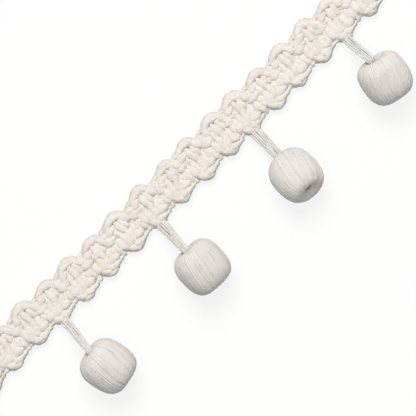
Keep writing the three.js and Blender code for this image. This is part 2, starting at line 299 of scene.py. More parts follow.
def cotton(name, light, deep, thread_mm, fibre_mm, yarns, roughness, drift, own_tone):
    """Cotton cord or thread: fibres and the grooves between its yarns, drawn along the twist, with painted
    shade in the grooves.
    """
    material, tree, surface = finish_start(name, roughness, specular=0.3)
    around = add(tree, "ShaderNodeAttribute", attribute_name="around").outputs["Vector"]
    along = add(tree, "ShaderNodeAttribute", attribute_name="along").outputs["Fac"]
    stretch = 6.0  # a fibre bundle shows about this many times longer than wide
    far = add(tree, MATH, {0: along, 1: 1 / (fibre_mm * MM * stretch)}, operation="MULTIPLY")
    place = add(tree, VECTOR_MATH,
                {0: around, 1: [thread_mm / fibre_mm] * 3,
                 2: add(tree, "ShaderNodeCombineXYZ", {"Z": far})}, operation="MULTIPLY_ADD")
    height = add(tree, "ShaderNodeTexNoise",
                 {"Vector": place, "Scale": 1.0, "Detail": 2.0, "Roughness": 0.6})
    if yarns:  # a thread is too fine for its yarns to show
        height = add(tree, MATH,
                     {0: yarn_rounds(tree, around, along, yarns), 1: height}, operation="MULTIPLY")
    # Tone and hue drift in patches of about 2 mm, as in yarn spun from fibres that aren't all alike.
    space = add(tree, "ShaderNodeTexCoord").outputs["Object"]
    patches = add(tree, "ShaderNodeTexNoise",
                  {"Vector": space, "Scale": 1 / (2 * MM), "Detail": 3.0, "Roughness": 0.6})
    both = add(tree, MATH, {0: height, 1: patches}, operation="ADD")
    # No two strands are quite the same tone.
    own = add(tree, "ShaderNodeAttribute", attribute_name="own").outputs["Fac"]
    centred = add(tree, MATH, {0: own, 1: math.pi}, operation="SUBTRACT")
    both = add(tree, MATH, {0: centred, 1: own_tone / math.pi, 2: both}, operation="MULTIPLY_ADD")
    # The colour runs from deep to light with the random tone of fibres, patches and strands. Where yarns are
    # drawn it is darker in their grooves, which is painted shade.
    tone = add(tree, "ShaderNodeMapRange", {"Value": both, "From Min": 0.5, "From Max": 1.1})
    tinted = add(tree, "ShaderNodeMix", {"Factor": tone, 6: linear(deep), 7: linear(light)},
                 data_type="RGBA").outputs[2]
    hues = add(tree, "ShaderNodeSeparateColor", {0: patches.outputs["Color"]}).outputs
    warm = drift * 2.2  # cream to white varies more than rose to green
    for channel, one, other in ((0, (1 + drift, 1 - drift, 1, 1), (1 - drift, 1 + drift, 1, 1)),
                                (1, (1, 1, 1 - warm, 1), (1, 1, 1 + warm, 1))):
        swing = add(tree, "ShaderNodeMapRange",
                    {"Value": hues[channel], "From Min": 0.35, "From Max": 0.65})
        tint = add(tree, "ShaderNodeMix", {"Factor": swing, 6: one, 7: other}, data_type="RGBA")
        tinted = add(tree, "ShaderNodeMix", {0: 1.0, 6: tinted, 7: tint.outputs[2]},
                     data_type="RGBA", blend_type="MULTIPLY").outputs[2]
    tree.links.new(tinted, surface.inputs["Base Color"])
    relief = add(tree, "ShaderNodeBump",
                 {"Height": height, "Strength": 0.5, "Distance": 0.1 * thread_mm * MM})
    tree.links.new(relief.outputs[0], surface.inputs["Normal"])
    surface.inputs["Sheen Weight"].default_value = 0.1
    surface.inputs["Sheen Roughness"].default_value = 0.5
    surface.inputs["Sheen Tint"].default_value = linear(light)
    return material


# The cord's deep colour is partly its fibres' own darker tone and partly painted shade in the grooves
# between its yarns.
cord_cotton = cotton("soft spun cotton cord", "#ece5de", "#e1dad1", thread_mm=1.0, fibre_mm=0.14,
                     yarns=CORD_YARNS, roughness=0.92, drift=0.016, own_tone=0.15)
thread_cotton = cotton("smooth spun cotton thread", "#e2dfda", "#cfcbc4", thread_mm=0.28,
                       fibre_mm=0.10, yarns=0, roughness=0.75, drift=0.006, own_tone=0.1)
winding_cotton = cotton("wound cotton thread", "#e7e2dd", "#dad4ce", thread_mm=0.25, fibre_mm=0.10,
                        yarns=0, roughness=0.72, drift=0.005, own_tone=0.3)
print("cotton:", cord_cotton.name, "/", thread_cotton.name, "/", winding_cotton.name)

# %% [markdown]
# ## Turned wood
# A bead's core is bare brown wood, turned on a lathe. It shows only inside an open hole, where a
# darker paint would do too, but wood keeps a warm tone in the shadow.

# %% Turned wood
def turned_wood():
    """Bare brown wood with a fine fleck: it makes an open hole look dark and warm."""
    material, tree, surface = finish_start("brown turned wood", roughness=0.8, specular=0.5)
    space = add(tree, "ShaderNodeTexCoord").outputs["Object"]
    fleck = add(tree, "ShaderNodeTexNoise", {"Vector": space, "Scale": 1 / (0.4 * MM)})
    colour = add(tree, "ShaderNodeMix",
                 {"Factor": fleck, 6: linear("#b39f88"), 7: linear("#cbb79f")}, data_type="RGBA")
    tree.links.new(colour.outputs[2], surface.inputs["Base Color"])
    return material


core_wood = turned_wood()
print("wood:", core_wood.name)

# %% [markdown]
# ## The heading's stitch
# A maker works this heading two stitches wide and turns it after every row, so one scallop is one
# repeat, 9.525 mm long. Its strands are the loops that roll over the upper and lower edges, the
# posts that stand across the band, and the short floats between the posts. Each strand below is a
# path of points: mm along from the scallop's lower tip, mm across from the centre line,
# mm above the table, and the strand's radius, which shrinks where the strand dives under another.

# %% Strands of one scallop
PITCH = 9.525  # mm from tip to tip
THICKNESS = 3.5  # mm from the table to the crest of the posts
MIDDLE = THICKNESS / 2

LOOPS = {
    "upper edge": [(-4.4, 4.0, 1.6, 0.58), (-3.9, 4.5, 1.7, 0.60), (-3.2, 4.83, 1.75, 0.55),
                   (-2.4, 4.8, 1.75, 0.72), (-1.5, 4.88, 1.75, 0.93), (-0.5, 5.2, 1.8, 1.12),
                   (0.5, 5.58, 1.75, 1.25), (1.4, 5.68, 1.75, 1.26), (2.4, 5.45, 1.85, 1.20),
                   (3.15, 5.03, 1.85, 1.12), (3.8, 4.45, 1.75, 0.95), (4.1, 3.85, 1.75, 0.82)],
    "lower edge": [(-3.9, -3.4, 1.5, 0.65), (-3.1, -3.62, 1.4, 0.75), (-2.3, -4.08, 1.4, 0.90),
                   (-1.55, -4.78, 1.4, 1.02), (-0.7, -5.45, 1.55, 1.10), (0.3, -5.72, 1.75, 1.12),
                   (1.3, -5.47, 1.85, 1.05), (2.4, -4.97, 1.9, 0.88), (3.3, -4.7, 1.9, 0.62),
                   (4.0, -4.58, 2.0, 0.45), (4.7, -4.58, 2.15, 0.43), (5.3, -4.45, 1.95, 0.48)],
}
LEAVES = {
    "inner, upper edge": [(-1.9, 4.47, 1.9, 0.90), (-1.3, 4.72, 2.1, 0.95), (-0.5, 4.98, 2.15, 0.92),
                          (0.4, 5.1, 2.15, 0.92), (1.3, 5.07, 2.15, 0.90), (2.1, 4.92, 2.15, 0.85),
                          (2.9, 4.62, 2.1, 0.92), (3.5, 4.32, 1.9, 0.88)],
    "left, lower edge": [(-2.15, -3.1, 1.9, 1.00), (-1.8, -3.75, 2.1, 1.08), (-1.33, -4.38, 2.15, 1.18),
                         (-0.8, -4.88, 2.1, 1.18), (-0.1, -5.25, 1.9, 1.02)],
    "right, lower edge": [(0.1, -4.4, 1.9, 1.05), (0.8, -4.7, 2.15, 1.15), (1.5, -4.85, 2.2, 1.12),
                          (2.2, -4.93, 2.2, 0.98), (2.9, -4.9, 2.05, 0.80), (3.5, -4.8, 1.85, 0.66)],
}
POSTS = {
    "wide, over both halves": [(0.85, 4.22, 2.0, 0.62), (0.85, 3.67, 2.15, 0.80), (0.85, 3.02, 2.2, 1.12),
                               (0.85, 2.32, 2.2, 1.32), (0.92, 1.42, 2.2, 1.28), (1.12, 0.52, 2.15, 1.20),
                               (1.12, -0.08, 2.1, 1.12), (0.97, -0.78, 2.15, 1.12), (0.85, -1.54, 2.2, 1.18),
                               (0.7, -2.31, 2.2, 1.25), (0.55, -3.0, 2.15, 1.20), (0.45, -3.7, 2.0, 1.10)],
    "slim, over both halves": [(-0.7, 2.12, 1.85, 0.85), (-0.77, 1.32, 2.1, 1.05), (-0.87, 0.42, 2.15, 0.95),
                               (-0.85, -0.48, 2.15, 1.15), (-0.9, -1.45, 2.15, 1.35),
                               (-0.95, -2.31, 2.15, 1.40), (-1.0, -3.1, 2.1, 1.35),
                               (-1.0, -3.9, 1.9, 1.15)],
    "narrow, upper": [(2.5, 3.85, 1.9, 0.72), (2.42, 3.22, 2.05, 0.95), (2.4, 2.52, 2.15, 1.05),
                      (2.6, 1.62, 2.15, 1.00), (2.83, 0.82, 2.1, 0.82), (2.95, 0.4, 1.95, 0.66)],
    "narrow, lower": [(2.75, -1.08, 1.7, 1.05), (2.75, -1.62, 1.85, 1.12), (2.65, -2.23, 1.85, 1.15)],
    "left, lower": [(-2.6, -0.28, 1.95, 1.20), (-2.65, -1.08, 2.1, 1.35), (-2.6, -1.97, 2.15, 1.42),
                    (-2.5, -2.6, 2.1, 1.32), (-2.4, -3.1, 1.9, 1.12)],
    "between, lower": [(5.4, -0.5, 1.95, 1.02), (5.5, -1.2, 2.1, 1.12), (5.65, -2.0, 2.1, 1.18),
                       (5.77, -2.74, 2.1, 1.12), (5.85, -3.3, 1.9, 0.95)],
}
FLOATS = {
    "valley": [(3.45, 3.92, 1.85, 1.05), (3.8, 3.42, 2.1, 1.20), (4.3, 2.82, 2.15, 1.28),
               (4.8, 2.22, 2.0, 1.20)],
    "high, left": [(-5.0, 3.27, 1.9, 0.95), (-4.3, 3.17, 2.1, 1.04), (-3.6, 3.05, 2.1, 1.02),
                   (-3.0, 2.9, 1.95, 0.90)],
    "high, right": [(-3.1, 2.72, 1.95, 1.08), (-2.4, 2.97, 2.22, 1.28), (-1.7, 3.25, 2.25, 1.28),
                    (-1.2, 3.42, 2.1, 1.02), (-0.95, 3.5, 1.95, 0.80)],
    "middle, upper": [(-4.7, 2.22, 1.95, 1.10), (-3.8, 2.07, 2.1, 1.18), (-2.9, 1.87, 2.1, 1.15),
                      (-2.1, 1.67, 1.95, 1.05)],
    "low, upper": [(-5.3, 1.3, 1.85, 0.95), (-4.7, 1.15, 2.1, 1.20), (-3.9, 1.0, 2.15, 1.40),
                   (-3.0, 1.15, 2.1, 1.20), (-2.3, 1.3, 1.9, 0.98)],
    "bulge, lower": [(1.75, -3.25, 1.85, 1.05), (2.3, -3.1, 2.05, 1.22), (3.0, -3.05, 2.12, 1.35),
                     (3.7, -3.03, 2.05, 1.28), (4.35, -2.95, 1.9, 1.05)],
    "short, lower": [(4.75, -0.4, 1.9, 0.90), (4.65, -0.88, 2.1, 1.08), (4.5, -1.54, 2.05, 1.05),
                     (4.4, -2.14, 1.9, 0.95)],
    "across, lower": [(3.3, -0.88, 1.75, 1.10), (3.8, -1.28, 1.85, 1.12), (4.2, -1.88, 1.8, 1.08)],
}


def buried(path):
    """A strand with both ends led on into the middle of the band, where other strands hide them."""
    def lead(end, before):
        away = Vector(end[:2]) - Vector(before[:2])
        near, far = (Vector(end[:2]) + away.normalized() * d for d in (0.55, 1.1))
        return (*near, MIDDLE + (end[2] - MIDDLE) * 0.1, 0.8), (*far, MIDDLE, 0.65)
    head, tail = lead(path[0], path[1]), lead(path[-1], path[-2])
    return [head[1], head[0], *path, *tail]


def mirrored_under(path):
    """The same strand on the heading's back, as deep under its middle as it stands over it."""
    return [(x, y, THICKNESS - z, r) for x, y, z, r in path]


FACE = [buried(path) for group in (LEAVES, POSTS, FLOATS) for path in group.values()]
LAYERS = {"heading_edge_loops": [buried(path) for path in LOOPS.values()],
          "heading_face_stitches": FACE,
          "heading_back_stitches": [mirrored_under(path) for path in FACE]}
print("strands in a repeat:", {name: len(strands) for name, strands in LAYERS.items()})

# %% [markdown]
# ## Repeating the stitch
# Hand work is never quite even, so every scallop strays a little from its place. One point for each
# scallop carries the stray of its lower tip and of its upper peak as attributes. They could be drawn
# at random, but then no scallop would be like the real one.

# %% Scallops and how they stray
SCALLOPS = [  # place, then the tip's and the peak's stray along and across the heading, in mm
    (-9, (-0.5, 0.0), (-0.2, 0.0)), (-8, (-0.8, 0.1), (0.2, 0.1)), (-7, (-0.3, 0.3), (0.3, 0.3)),
    (-6, (-1.0, 0.1), (0.1, -0.3)), (-5, (-0.9, -0.2), (-0.4, 0.0)), (-4, (-0.7, -0.1), (-0.8, -0.6)),
    (-3, (-0.1, -0.2), (-1.0, -0.3)), (-2, (-0.1, 0.0), (0.0, 0.1)), (-1, (0.2, 0.2), (0.9, -0.2)),
    (0, (0.2, -0.2), (-0.1, 0.2)), (1, (0.4, -0.1), (0.6, 0.1)), (2, (-0.4, -0.1), (-0.2, 0.0)),
    (3, (0.2, 0.0), (-0.2, 0.0)), (4, (-0.4, 0.0), (-0.3, 0.2)), (5, (-0.2, 0.2), (0.2, 0.4)),
    (6, (-1.1, 0.1), (-0.5, 0.1)), (7, (-0.4, 0.2), (-0.3, 0.2)), (8, (-0.3, 0.1), (0.2, 0.0)),
    (9, (0.2, 0.0), (-0.2, -0.1)),
]


def scallop_points(name):
    """A mesh of one point for each scallop, with its strays as vector attributes."""
    mesh = bpy.data.meshes.new(name)
    mesh.from_pydata([((place * PITCH + 0.1) * MM, 0, 0) for place, _, _ in SCALLOPS], [], [])
    for attribute, column in (("tip_stray", 1), ("peak_stray", 2)):
        data = mesh.attributes.new(attribute, "FLOAT_VECTOR", "POINT").data
        for value, row in zip(data, SCALLOPS):
            value.vector = (row[column][0] * MM, row[column][1] * MM, 0)
    return placed(name, mesh)


print("scallops:", len(SCALLOPS))

# %% [markdown]
# ## The tree that repeats the stitch
# An Array modifier would give nineteen equal copies. The tree puts the stitch on each point instead,
# moves the strands by the stray that belongs to their side of the band, and lets slow noise wander
# through the paths, so that neighbours move together.

# %% Repeat tree
def repeat_tree():
    tree, given = group_tree("repeat the stitch", {
        "Geometry": ["Scallops"], "Object": ["Stitch"], "Int": ["Seed"],
        "Float": ["Wander", "Wander Length", "Strand Slip", "Half Length"]}, "Paths")
    stitch = add(tree, "GeometryNodeObjectInfo", {"Object": given["Stitch"]})
    on_points = add(tree, "GeometryNodeInstanceOnPoints",
                    {"Points": given["Scallops"], "Instance": stitch.outputs["Geometry"]})
    real = add(tree, "GeometryNodeRealizeInstances", {"Geometry": on_points})
    place = add(tree, "GeometryNodeInputPosition")
    split = add(tree, "ShaderNodeSeparateXYZ", {0: place}).outputs
    share = add(tree, "ShaderNodeMapRange",
                {"Value": split["Y"], "From Min": -2.5 * MM, "From Max": 2.5 * MM},
                interpolation_type="SMOOTHSTEP")
    tip, peak = (add(tree, "GeometryNodeInputNamedAttribute", {"Name": name},
                     data_type="FLOAT_VECTOR") for name in ("tip_stray", "peak_stray"))
    stray = add(tree, "ShaderNodeMix", {0: share, 4: tip, 5: peak}, data_type="VECTOR")
    strayed = add(tree, "GeometryNodeSetPosition", {"Geometry": real, "Offset": stray.outputs[1]})
    # Slow noise through space moves strands that lie together the same way. The number only
    # tells one seed's noise from the next.
    per_length = add(tree, MATH, {0: 1.0, 1: given["Wander Length"]}, operation="DIVIDE")
    seeded = add(tree, MATH, {0: given["Seed"], 1: 7.31}, operation="MULTIPLY")
    noise = add(tree, "ShaderNodeTexNoise", {"W": seeded, "Scale": per_length, "Detail": 1.0},
                noise_dimensions="4D")
    centred = add(tree, VECTOR_MATH,
                  {0: noise.outputs["Color"], 1: (0.5, 0.5, 0.5)}, operation="SUBTRACT")
    twice = add(tree, MATH, {0: given["Wander"], 1: 2.0}, operation="MULTIPLY")
    wander = add(tree, VECTOR_MATH, {0: centred, "Scale": twice}, operation="SCALE")
    # Each strand also slips a little by itself, without rising off the cloth.
    index = add(tree, "GeometryNodeInputIndex")
    which = add(tree, "GeometryNodeFieldOnDomain", {0: index}, domain="CURVE", data_type="INT")
    slip = add(tree, "FunctionNodeRandomValue",
               {"ID": which, "Seed": given["Seed"], 0: (-1, -1, -0.5), 1: (1, 1, 0.5)},
               data_type="FLOAT_VECTOR")
    slipped = add(tree, VECTOR_MATH, {0: slip, "Scale": given["Strand Slip"]}, operation="SCALE")
    both = add(tree, VECTOR_MATH, {0: wander, 1: slipped}, operation="ADD")
    uneven = add(tree, "GeometryNodeSetPosition", {"Geometry": strayed, "Offset": both})
    # Nothing reaches past the ends, where the binding strands close the band.
    reach = add(tree, MATH, {0: split["X"]}, operation="ABSOLUTE")
    past = add(tree, MATH, {0: reach, 1: given["Half Length"]}, operation="GREATER_THAN")
    kept = add(tree, "GeometryNodeDeleteGeometry", {"Geometry": uneven, "Selection": past},
               domain="POINT")
    add(tree, "NodeGroupOutput", {"Paths": kept})
    return tree


repeat_the_stitch = repeat_tree()
print("repeat tree:", len(repeat_the_stitch.nodes), "nodes")

# %% [markdown]
# ## Working the heading
# Three layers make the heading: the loops over its edges, the stitches on its face, and the same
# stitches on its back, which a turned crochet strip shows alike on both sides. A simulated cloth
# would pull the loops tight by itself, but it can't be steered to this stitch, so each strand is
# listed and pressed by the tree. The back is seldom seen, so its cords have longer steps.

# %% Cords of the heading
HALF_LENGTH = len(SCALLOPS) * PITCH / 2 - 0.6  # mm, how far the cords may reach from the middle
TURNS_PER_METRE = 1 / (20 * MM)  # a yarn goes round the cord once in 20 mm
# mm from one ring of a cord's mesh to the next
STEP = {"heading_edge_loops": 0.37, "heading_face_stitches": 0.37, "heading_back_stitches": 0.5}
CORD_RELIEF = {
    "yarns": float(CORD_YARNS),
    "groove": 0.078 * MM,  # how far a yarn's crest stands over the mean surface
    "lumps": 0.18 * MM,  # how much thicker or thinner the soft spun cord gets
}
heading_pieces = []
for seed, (name, strands) in enumerate(LAYERS.items()):
    stitch = paths_object(name + "_stitch", strands)
    maker = scallop_points(name + "_maker")
    use_tree(maker, repeat_the_stitch, stitch=stitch, wander=0.32 * MM, wander_length=5.0 * MM,
             strand_slip=0.16 * MM, half_length=HALF_LENGTH * MM, seed=1)
    heading_pieces.append(make_cord(
        maker, name, cord_section, STEP[name], TURNS_PER_METRE, 10 + seed, cord_cotton,
        middle=MIDDLE * MM, half_thickness=1.6 * MM, softness=1.0 * MM, **CORD_RELIEF))
    bpy.data.objects.remove(stitch)

# %% [markdown]
# ## The cut ends
# Where the trim is cut from its roll, the two ends are bound so that the crochet doesn't run back:
# a few turns of the same cord go over the edge from the face to the back. They could be a helix,
# but single turns can each lean a little, as sewn ones do.

# %% Binding at the cut ends
END_X = len(SCALLOPS) * PITCH / 2 - 0.8  # mm, the middle of the binding cords
BINDING_TURNS = 9
dice = random.Random(5)
for side, name in ((-1, "heading_binding_left"), (1, "heading_binding_right")):
    turns = []
    for k in range(BINDING_TURNS):
        y = -4.4 + k * 1.15 + dice.uniform(-0.1, 0.1)
        x = side * (END_X + 0.25 * math.sin(math.pi * (k + 0.5) / BINDING_TURNS))
        lean = dice.uniform(-0.3, 0.3)
        # how far in from the end, share of the lean, height, radius
        turns.append([(x - side * inward, y + lean * share, z, radius)
                      for inward, share, z, radius in (
                          (1.9, 1, 1.5, 0.55), (1.2, 0.6, 2.45, 0.7), (0.3, 0, 2.6, 0.7),
                          (-0.05, 0, 1.75, 0.72), (0.3, 0, 0.9, 0.7), (1.2, -0.6, 1.05, 0.7),
                          (1.9, -1, 2.0, 0.55))])
    heading_pieces.append(make_cord(paths_object(name + "_maker", turns), name, cord_section, 0.35,
                                    TURNS_PER_METRE, 20, cord_cotton, **CORD_RELIEF))

# %% [markdown]
# ## The ground of the heading
# Behind the strands that show lie the chain stitches that they were worked into. They are seen only
# as a darker web in the gaps. They are rows of thinner cord that run from end to end in the middle
# of the band. The two outer rows
# are thinner and lie lower, so that they stay out of sight under the rolled edges.

# %% The chain rows inside the heading
ROWS = 8
ROW_GAP = 1.18  # mm from row to row
ROW_POINTS = 121
rows = []
for k in range(ROWS):
    drop, radius = (0.35, 0.62) if k in (0, ROWS - 1) else (0.0, 0.75)
    row = []
    for i in range(ROW_POINTS):
        x = HALF_LENGTH * (i / (ROW_POINTS // 2) - 1)
        stitches = 2 * math.pi * x / PITCH * 3  # three chain stitches to a scallop
        row.append((x, (k - (ROWS - 1) / 2) * ROW_GAP + 0.2 * math.cos(stitches + k * 2.1),
                    MIDDLE + 0.12 * math.sin(stitches + k * 1.3) - drop, radius))
    rows.append(row)
heading_ground = make_cord(paths_object("heading_ground_maker", rows), "heading_ground",
                           chain_section, 0.6, TURNS_PER_METRE, 30, cord_cotton)

# %% [markdown]
# ## Wound beads
# Each bead is a barrel core that the maker winds with thread: through the hole, up over the side,
# through the hole again, a little further round each time. More turns are wound than fit side by
# side on the widest part, so some lie over their neighbours, and all of them crowd into the hole,
# which is what sinks a dimple in each end. One meridian, the path of a turn, is repeated round the
# axis by a tree that also slants the turns, lets them stray and sways neighbours together, as hand
# winding does. Under them lies a smooth skin of the same shape, the lower turns, so that no gap
# shows through. Inside the hole the skin is the wood of the core.

# %% Sizes of the beads
# number: x, y of the centre, width, length in mm; turn in the plane and lift of the axis in degrees;
# depth and width of the dimples at the far end and at the stem's end, in mm
BEADS = {
    1: ((-58.4, -23.9), (14.4, 15.4), 12, 9, (1.8, 3.0), (1.7, 2.4)),
    2: ((-19.5, -22.9), (14.6, 15.3), -2, 7, (1.8, 3.0), (2.0, 2.8)),
    3: ((17.8, -23.2), (13.9, 15.4), -3, -28, (2.3, 2.4), (1.8, 2.8)),
    4: ((55.3, -21.5), (14.4, 15.4), -10, 12, (1.8, 3.0), (2.2, 4.0)),
}
BARREL = 2.7  # how square the barrel's outline is: 2 is an ellipse
TURNS = 118  # turns of thread wound on a bead
THREAD = 0.24  # mm, the radius of the winding thread
HOLE = 1.1  # mm, the hole's radius once it is wound
FLAT_SPOT = 0.16  # mm, how much the spot that a bead lies on is pressed in


def meridian(width, length, far, near, inset):
    """One turn of thread as (radius from the axis, place along the axis) in mm, hole to hole."""
    a, b = width / 2 - inset, length / 2 - inset
    points = []
    for k in range(-30, 31):
        u = math.pi / 2 * k / 30
        r = a * math.cos(u) ** (2 / BARREL) if abs(k) < 30 else 0.0
        z = math.copysign(b * abs(math.sin(u)) ** (2 / BARREL), u)
        depth, spread = near if z > 0 else far
        z -= math.copysign(depth * math.exp(-((r / spread) ** 2)), u)
        points.append((r, z))
    outside = [(r, z) for r, z in points if r >= HOLE + 0.2]
    (r0, z0), (r1, z1) = outside[0], outside[-1]
    return [(HOLE, z0 + 0.45)] + outside + [(HOLE, z1 - 0.45)]


def placed_on_axis(number):
    """The matrix that puts a bead made on the Z axis, stem's end up, in its place on the table."""
    (x, y), (width, length), turn, lift, far, near = BEADS[number]
    turn, lift = math.radians(turn), math.radians(lift)
    axis = Vector((-math.sin(turn) * math.cos(lift), math.cos(turn) * math.cos(lift), math.sin(lift)))
    side = axis.cross(Vector((0, 0, 1))).normalized()
    place = Matrix((side, axis.cross(side), axis)).transposed().to_4x4()
    # Its centre is as high as the bead reaches below it, less the spot pressed in where it lies.
    reach = max(r * math.cos(lift) + abs(z * math.sin(lift))
                for r, z in meridian(width, length, far, near, inset=0))
    place.translation = Vector((x, y, reach - FLAT_SPOT)) * MM
    return place


fit = round(math.pi * BEADS[1][1][0] / (2 * THREAD))
print(f"a bead has {TURNS} turns, and {fit} fit side by side")

# %% [markdown]
# ## The tree that winds a bead
# A texture of lines could stand for the thread, but its turns catch the light one by one and crowd
# into the hole, which a real winding does by itself.

# %% Winding tree
def winding_tree():
    tree, given = group_tree("wind a bead", {
        "Object": ["Turn"], "Int": ["Turns", "Seed"],
        "Float": ["Slant", "Stray", "Sway", "Lift"]}, "Paths")
    turn = add(tree, "GeometryNodeObjectInfo", {"Object": given["Turn"]})
    points = add(tree, "GeometryNodePoints", {"Count": given["Turns"]})
    index = add(tree, "GeometryNodeInputIndex")
    full = add(tree, MATH, {0: index, 1: given["Turns"]}, operation="DIVIDE")
    angle = add(tree, MATH, {0: full, 1: 2 * math.pi}, operation="MULTIPLY")
    spin = add(tree, "ShaderNodeCombineXYZ", {"Z": angle})
    wound = add(tree, "GeometryNodeInstanceOnPoints",
                {"Points": points, "Instance": turn.outputs["Geometry"], "Rotation": spin})
    real = add(tree, "GeometryNodeRealizeInstances", {"Geometry": wound})
    # The slant: a turn runs round the axis a little as it goes from end to end.
    share = add(tree, "GeometryNodeSplineParameter").outputs["Factor"]
    middle = add(tree, MATH, {0: share, 1: 0.5}, operation="SUBTRACT")
    which = add(tree, "GeometryNodeFieldOnDomain", {0: index}, domain="CURVE", data_type="INT")
    # Two random numbers for each turn; the count of turns serves as the second one's seed.
    own, spread = (add(tree, "FunctionNodeRandomValue",
                       {"ID": which, "Seed": given[seed], 2: -1.0, 3: 1.0}).outputs[1]
                   for seed in ("Seed", "Turns"))
    strayed = add(tree, MATH, {0: own, 1: given["Stray"], 2: given["Slant"]}, operation="MULTIPLY_ADD")
    round_by = add(tree, MATH, {0: middle, 1: strayed}, operation="MULTIPLY")
    # Neighbours sway together over about 4 mm, so that no line runs quite straight.
    place = add(tree, "GeometryNodeInputPosition")
    drift = add(tree, "ShaderNodeTexNoise", {"Vector": place, "Scale": 260.0, "Detail": 1.0})
    sway = add(tree, MATH, {0: drift, 1: 0.5}, operation="SUBTRACT")
    round_by = add(tree, MATH, {0: sway, 1: given["Sway"], 2: round_by}, operation="MULTIPLY_ADD")
    slanted = add(tree, "ShaderNodeVectorRotate",
                  {"Vector": place, "Angle": round_by, "Axis": (0, 0, 1)},
                  rotation_type="AXIS_ANGLE")
    # Some turns lie over their neighbours, and the hand's tension varies over about 8 mm.
    noise = add(tree, "ShaderNodeTexNoise",
                {"Vector": place, "W": own, "Scale": 130.0, "Detail": 0.0}, noise_dimensions="4D")
    rise = add(tree, "ShaderNodeMapRange", {"Value": noise, "From Min": 0.2, "From Max": 0.8,
                                            "To Min": -1.0, "To Max": 1.0})
    both = add(tree, MATH, {0: spread, 1: rise}, operation="ADD")
    lift = add(tree, MATH, {0: both, 1: given["Lift"]}, operation="MULTIPLY")
    flat = add(tree, VECTOR_MATH, {0: slanted, 1: (1, 1, 0.6)}, operation="MULTIPLY")
    out = add(tree, VECTOR_MATH, {0: flat}, operation="NORMALIZE")
    offset = add(tree, VECTOR_MATH, {0: out, "Scale": lift}, operation="SCALE")
    moved = add(tree, "GeometryNodeSetPosition",
                {"Geometry": real, "Position": slanted, "Offset": offset})
    add(tree, "NodeGroupOutput", {"Paths": moved})
    return tree


wind_a_bead = winding_tree()
print("winding tree:", len(wind_a_bead.nodes), "nodes")

# %% [markdown]
# ## The skin under the turns
# The lower turns could be wound as well, for twice the faces. Nobody sees more of them than a
# shadow between two threads, so a plain surface of the same shape closes the bead.

# %% Skin
def lower_turns(profile, around=72):
    """The skin of a bead: its profile spun round the axis, and closed inside the hole by the core."""
    rows = len(profile)
    angles = [2 * math.pi * k / around for k in range(around)]
    places = [(r * math.cos(a) * MM, r * math.sin(a) * MM, z * MM) for a in angles for r, z in profile]

    def face(k, i, j):
        """A face from one meridian to the next, between the profile's points i and j."""
        here, beside = k * rows, (k + 1) % around * rows
        return here + i, beside + i, beside + j, here + j

    faces = [face(k, i, i + 1) for k in range(around) for i in range(rows - 1)]
    core = [face(k, rows - 1, 0) for k in range(around)]
    mesh = bpy.data.meshes.new("skin")
    mesh.from_pydata(places, [], faces + core)
    mesh.polygons.foreach_set("use_smooth", [True] * len(mesh.polygons))
    own = mesh.attributes.new("own", "FLOAT", "POINT")
    own.data.foreach_set("value", [math.pi] * len(places))
    mesh.materials.append(winding_cotton)
    mesh.materials.append(core_wood)
    mesh.polygons.foreach_set("material_index", [0] * len(faces) + [1] * len(core))
    return mesh


def joined(name, meshes):
    """One object made of several meshes, which keep their materials and attributes."""
    parts = [placed(name, mesh) for mesh in meshes]
    with bpy.context.temp_override(active_object=parts[0], object=parts[0], selected_objects=parts,
                                   selected_editable_objects=parts):
        bpy.ops.object.join()
    parts[0].name = parts[0].data.name = name
    return parts[0]


# %% [markdown]
# ## Winding the four beads
# A bead is wound standing on its end at the origin, where its shape is simple. Its mesh is then
# turned and moved to where the bead lies, so that the object itself stays unturned.

# %% Winding the beads
beads = {}
for number, (_, (width, length), _, _, far, near) in BEADS.items():
    profile = meridian(width, length, far, near, inset=THREAD)
    one_turn = paths_object("turn", [[(r, 0, z, THREAD) for r, z in profile]])
    maker = placed("winding_maker", bpy.data.meshes.new("winding_maker"))
    use_tree(maker, wind_a_bead, turn=one_turn, turns=TURNS, slant=0.45, stray=0.05, sway=0.14,
             lift=0.07 * MM, seed=number)
    turns = make_cord(maker, f"turns_{number}", thread_section, 0.62, 0.0, number, winding_cotton)
    skin = lower_turns(meridian(width, length, far, near, inset=2 * THREAD))
    bead = joined(f"wound_bead_{number}", [turns.data, skin])
    bpy.data.objects.remove(turns)
    bpy.data.objects.remove(one_turn)
    bead.data.transform(placed_on_axis(number))
    beads[number] = bead
    print(bead.name, "polygons:", len(bead.data.polygons))

# %% [markdown]
# ## Stems
# A stem is eight threads that come out from under a scallop's tip, spread a little, and gather again
# to go into the bead's hole. Each is a twisted thread about 0.6 mm thick. A bead's stem follows one
# smooth curve, which leaves the heading rising and bends into the bead's hole. The threads could
# hang by simulation, but they are held at both ends, and the curve is known.

